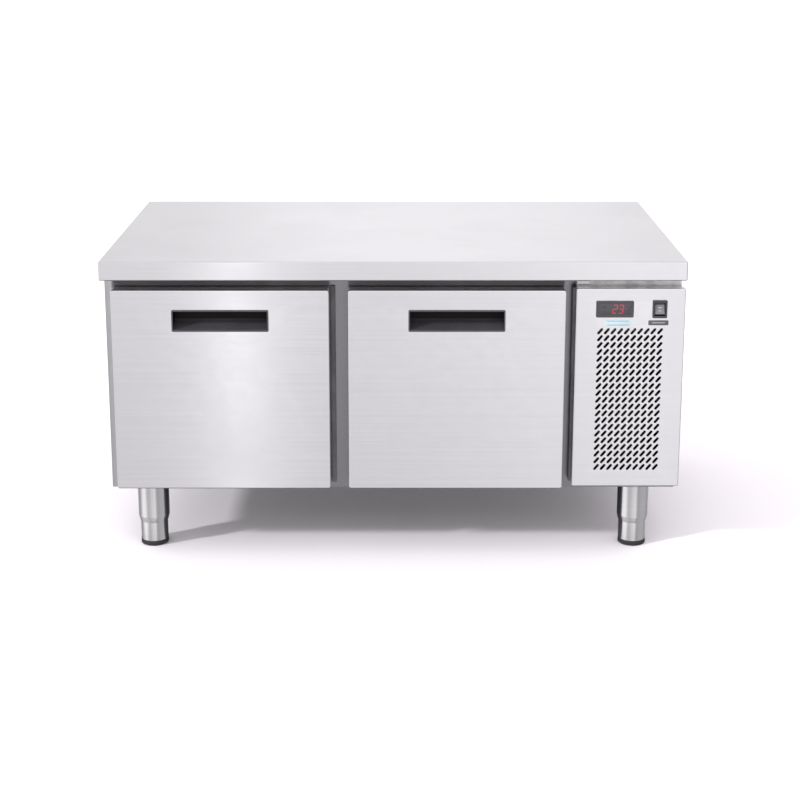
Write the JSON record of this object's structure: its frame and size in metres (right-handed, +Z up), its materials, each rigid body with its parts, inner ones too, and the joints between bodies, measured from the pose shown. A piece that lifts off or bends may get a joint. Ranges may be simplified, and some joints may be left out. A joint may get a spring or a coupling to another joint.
{
  "type": "undercounter refrigerator",
  "caption": "Low stainless-steel refrigerator under a worktop: insulated drawers with recessed grips, a slotted machine panel with controller and rocker switch, and adjustable round feet.",
  "frame": {"origin": "on the floor under the centre of the worktop", "axes": "+X to the right as seen from the front, along the worktop; +Y to the back; +Z up"},
  "size_m": [1.2, 0.7, 0.64],
  "materials": {
    "worktop_steel": "satin",
    "worktop_board": "matte",
    "body_steel": "satin",
    "frame_steel": "satin",
    "galvanised_steel": "matte",
    "liner_steel": "satin",
    "drawer_steel": "satin",
    "insulation": "matte",
    "gasket_rubber": "matte",
    "handle_plastic": "matte",
    "rail_steel": "satin",
    "controller_plastic": "satin",
    "switch_plastic": "gloss",
    "rocker_plastic": "satin",
    "fin_aluminium": "satin",
    "fan_aluminium": "satin",
    "black_paint": "gloss",
    "fan_plastic": "matte",
    "copper": "satin",
    "leg_steel": "satin",
    "pad_plastic": "matte",
    "electrical_enclosure": "satin"
  },
  "bodies": {
    "cabinet": {"worktop_skin": "worktop_steel", "worktop_core": "worktop_board", "left_side_panel": "body_steel", "right_side_panel": "body_steel", "back_panel": "galvanised_steel", "base_panel": "galvanised_steel", "front_frame": "frame_steel", "cell_liner": "liner_steel", "insulation_foam": "insulation", "motor_bulkhead": "galvanised_steel", "centre_rack": "liner_steel", "left_drawer_outer_rail_left": "rail_steel", "left_drawer_outer_rail_right": "rail_steel", "right_drawer_outer_rail_left": "rail_steel", "right_drawer_outer_rail_right": "rail_steel", "front_panel": "drawer_steel", "controller": "controller_plastic", "switch_housing": "switch_plastic", "unit_base_tray": "galvanised_steel", "condenser_coil": "fin_aluminium", "condenser_fan_shroud": "galvanised_steel", "condenser_fan_motor": "black_paint", "compressor": "black_paint", "electrical_box": "electrical_enclosure", "evaporator_coil": "fin_aluminium", "evaporator_cover": "liner_steel", "evaporator_fan_housing": "fan_plastic", "suction_line": "copper", "liquid_line": "copper", "front_left_leg_tube": "leg_steel", "front_right_leg_tube": "leg_steel", "back_left_leg_tube": "leg_steel", "back_right_leg_tube": "leg_steel"},
    "left_drawer": {"left_drawer_skin": "drawer_steel", "left_drawer_foam": "insulation", "left_drawer_inner_panel": "liner_steel", "left_drawer_gasket": "gasket_rubber", "left_drawer_handle": "handle_plastic", "left_drawer_box": "liner_steel"},
    "left_middle_rails": {"left_drawer_middle_rail_left": "rail_steel", "left_drawer_middle_rail_right": "rail_steel"},
    "right_drawer": {"right_drawer_skin": "drawer_steel", "right_drawer_foam": "insulation", "right_drawer_inner_panel": "liner_steel", "right_drawer_gasket": "gasket_rubber", "right_drawer_handle": "handle_plastic", "right_drawer_box": "liner_steel"},
    "right_middle_rails": {"right_drawer_middle_rail_left": "rail_steel", "right_drawer_middle_rail_right": "rail_steel"},
    "front_left_foot": {"front_left_foot_cup": "leg_steel", "front_left_foot_pad": "pad_plastic"},
    "front_right_foot": {"front_right_foot_cup": "leg_steel", "front_right_foot_pad": "pad_plastic"},
    "back_left_foot": {"back_left_foot_cup": "leg_steel", "back_left_foot_pad": "pad_plastic"},
    "back_right_foot": {"back_right_foot_cup": "leg_steel", "back_right_foot_pad": "pad_plastic"},
    "condenser_fan_rotor": {"condenser_fan": "fan_aluminium"},
    "evaporator_fan_rotor": {"evaporator_fan": "fan_plastic"},
    "rocker": {"switch_rocker": "rocker_plastic"}
  },
  "joints": [
    {"name": "left_drawer_slide", "type": "slide", "parent": "cabinet", "child": "left_drawer", "axis": [0, -1, 0], "range_m": [0, 0.5]},
    {"name": "left_middle_rails_slide", "type": "slide", "parent": "cabinet", "child": "left_middle_rails", "axis": [0, -1, 0], "range_m": [0, 0.25]},
    {"name": "right_drawer_slide", "type": "slide", "parent": "cabinet", "child": "right_drawer", "axis": [0, -1, 0], "range_m": [0, 0.5]},
    {"name": "right_middle_rails_slide", "type": "slide", "parent": "cabinet", "child": "right_middle_rails", "axis": [0, -1, 0], "range_m": [0, 0.25]},
    {"name": "front_left_foot_adjust", "type": "slide", "parent": "cabinet", "child": "front_left_foot", "axis": [0, 0, -1], "range_m": [-0.01, 0.02]},
    {"name": "front_right_foot_adjust", "type": "slide", "parent": "cabinet", "child": "front_right_foot", "axis": [0, 0, -1], "range_m": [-0.01, 0.02]},
    {"name": "back_left_foot_adjust", "type": "slide", "parent": "cabinet", "child": "back_left_foot", "axis": [0, 0, -1], "range_m": [-0.01, 0.02]},
    {"name": "back_right_foot_adjust", "type": "slide", "parent": "cabinet", "child": "back_right_foot", "axis": [0, 0, -1], "range_m": [-0.01, 0.02]},
    {"name": "condenser_fan_spin", "type": "hinge", "parent": "cabinet", "child": "condenser_fan_rotor", "pos_m": [0.4838, -0.218, 0.3049], "axis": [0, 1, 0], "continuous": true},
    {"name": "evaporator_fan_spin", "type": "hinge", "parent": "cabinet", "child": "evaporator_fan_rotor", "pos_m": [0.0895, 0.257, 0.365], "axis": [0, 1, 0], "continuous": true},
    {"name": "power_switch", "type": "hinge", "parent": "cabinet", "child": "rocker", "pos_m": [0.5465, -0.336, 0.5395], "axis": [1, 0, 0], "range_deg": [0, 22]}
  ],
  "couplings": [
    {"joint": "left_middle_rails_slide", "follows": "left_drawer_slide", "ratio": 0.5},
    {"joint": "right_middle_rails_slide", "follows": "right_drawer_slide", "ratio": 0.5}
  ]
}
